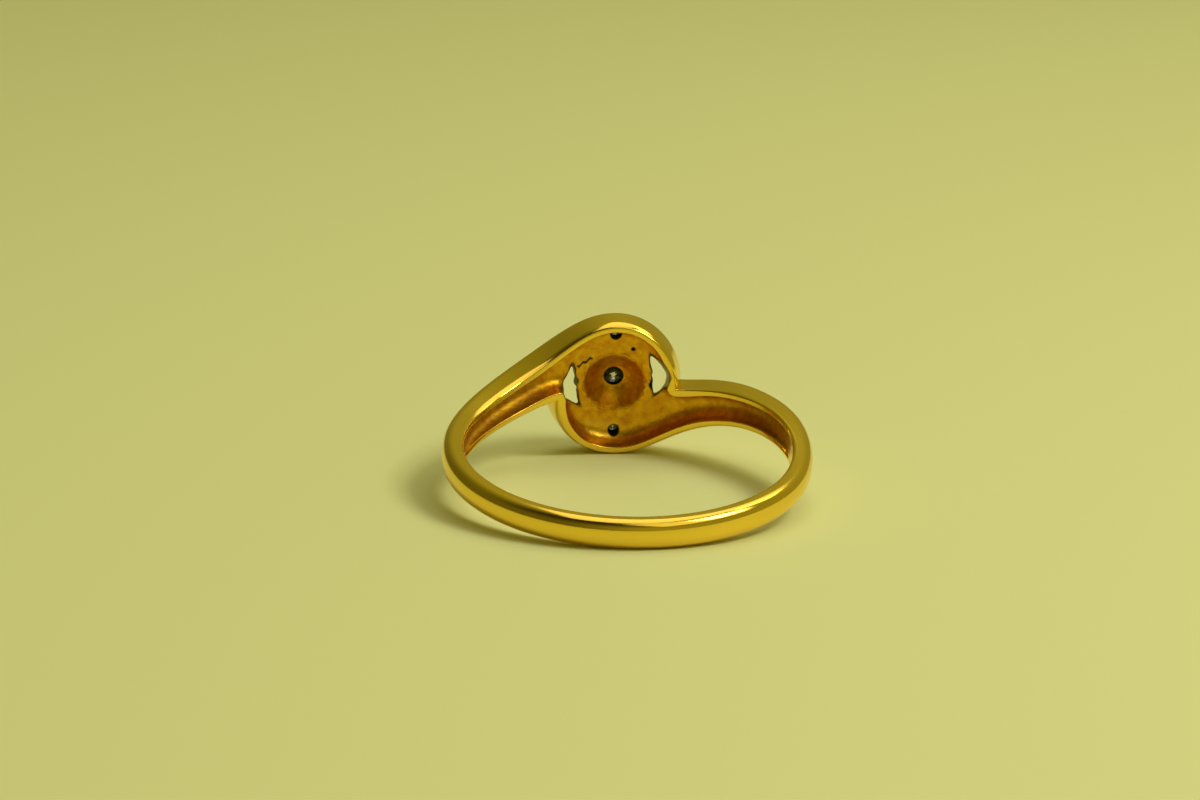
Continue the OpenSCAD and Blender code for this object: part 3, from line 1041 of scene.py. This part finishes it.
# Each stone's painted shade film: its colour, then its inner and outer distance from the axis and its
# thickest share.
for node, offset, girdle, colour, film in (
        ("centre_diamond", 0, centre_girdle, DARK_STONE_SHADE, (0.16, 0.32, 0.92)),
        ("upper_diamond", accent_offset, accent_girdle, PALE_STONE_SHADE, (0.04, 0.16, 0.8)),
        ("lower_diamond", -accent_offset, accent_girdle, PALE_STONE_SHADE, (0.0, 0.08, 0.85))):
    mesh = frame["nodes"][node].data
    mesh.materials.clear()
    mesh.materials.append(diamond_material(head_point(offset, girdle), colour, *film))

# ---------- Floor, light and camera ----------

floor_z = min(cad_box[0][2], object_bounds()[0][2])
FLOOR_REACH = 3.0
floor_mesh = bpy.data.meshes.new("floor")
floor_corners = [(x * FLOOR_REACH, y * FLOOR_REACH, floor_z)
                 for x, y in ((-1, -1), (1, -1), (1, 1), (-1, 1))]
floor_mesh.from_pydata(floor_corners, [], [(0, 1, 2, 3)])
floor = bpy.data.objects.new("floor", floor_mesh)
bpy.context.scene.collection.objects.link(floor)
floor_mesh.materials.append(pale_paper())


def area_light(name, azimuth, elevation, distance, size, power, colour):
    """A soft light that faces the ring, in degrees, metres and watts; azimuth 0 is the camera's side."""
    lamp = bpy.data.lights.new(name, "AREA")
    lamp.shape = "RECTANGLE"
    lamp.size, lamp.size_y = size
    lamp.energy = power
    lamp.color = colour
    light = bpy.data.objects.new(name, lamp)
    bpy.context.scene.collection.objects.link(light)
    az, el = math.radians(azimuth), math.radians(elevation)
    stand = Vector((math.sin(az) * math.cos(el), -math.cos(az) * math.cos(el), math.sin(el))) * distance
    light.location = stand
    light.rotation_euler = (-stand).to_track_quat("-Z", "Y").to_euler()


area_light("key", 69, 52, 0.35, (0.12, 0.12), 0.5, (1, 0.97, 1))
area_light("panel", 48, 52, 0.4, (0.4, 0.26), 0.28, (1, 0.93, 0.6))
area_light("window", 122, 52, 0.4, (0.12, 0.12), 0.1, (1, 0.95, 0.7))
area_light("top", 160, 76, 0.34, (0.2, 0.42), 0.24, (1, 0.9, 0.98))

world = bpy.data.worlds.new("studio")
bpy.context.scene.world = world
world.use_nodes = True
sky = world.node_tree.nodes
sky_links = world.node_tree.links

# Bright behind the ring and at the horizon, dark brown above the camera, and dimmer to the left.
direction = sky.new("ShaderNodeTexCoord")
axes = sky.new("ShaderNodeSeparateXYZ")
sky_links.new(direction.outputs["Generated"], axes.inputs["Vector"])
behind = map_range(sky, sky_links, axes.outputs["Y"], -0.3, 0.4, 0, 1)
above = map_range(sky, sky_links, axes.outputs["Z"], 0.3, 0.85, 0, 1)
rightwards = map_range(sky, sky_links, axes.outputs["X"], -0.7, 0.2, 0, 1)
back_wall = blended(sky, sky_links, rightwards, (0.16, 0.155, 0.03), (0.37, 0.36, 0.07))
overhead = blended(sky, sky_links, behind, (0.03, 0.024, 0.015), back_wall)
horizon = blended(sky, sky_links, rightwards, (0.12, 0.11, 0.02), (0.30, 0.28, 0.06))
sky_links.new(blended(sky, sky_links, above, horizon, overhead), sky["Background"].inputs["Color"])
bpy.context.scene.view_settings.view_transform = "Standard"

CAMERA_DISTANCE = 0.210
CAMERA_AZIMUTH = -4.644
CAMERA_ELEVATION = 15.306
CAMERA_ROLL = 0.834
AIM = Vector((-1.413, 0.844, 2.851)) * MM
LENS = 122.2


def add_camera():
    """The camera, which stands behind the ring and looks through it at the head's hollow back."""
    lens = bpy.data.cameras.new("camera")
    lens.lens = LENS
    lens.sensor_width = 36
    lens.clip_start = 0.005
    lens.clip_end = 20
    camera = bpy.data.objects.new("camera", lens)
    bpy.context.scene.collection.objects.link(camera)
    az, el = math.radians(CAMERA_AZIMUTH), math.radians(CAMERA_ELEVATION)
    stand = Vector((math.sin(az) * math.cos(el), -math.cos(az) * math.cos(el), math.sin(el)))
    camera.location = stand * CAMERA_DISTANCE
    look = (AIM - camera.location).to_track_quat("-Z", "Y").to_matrix()
    turned = look @ Matrix.Rotation(math.radians(CAMERA_ROLL), 3, "Z")
    camera.rotation_euler = turned.to_euler()
    bpy.context.scene.camera = camera


add_camera()
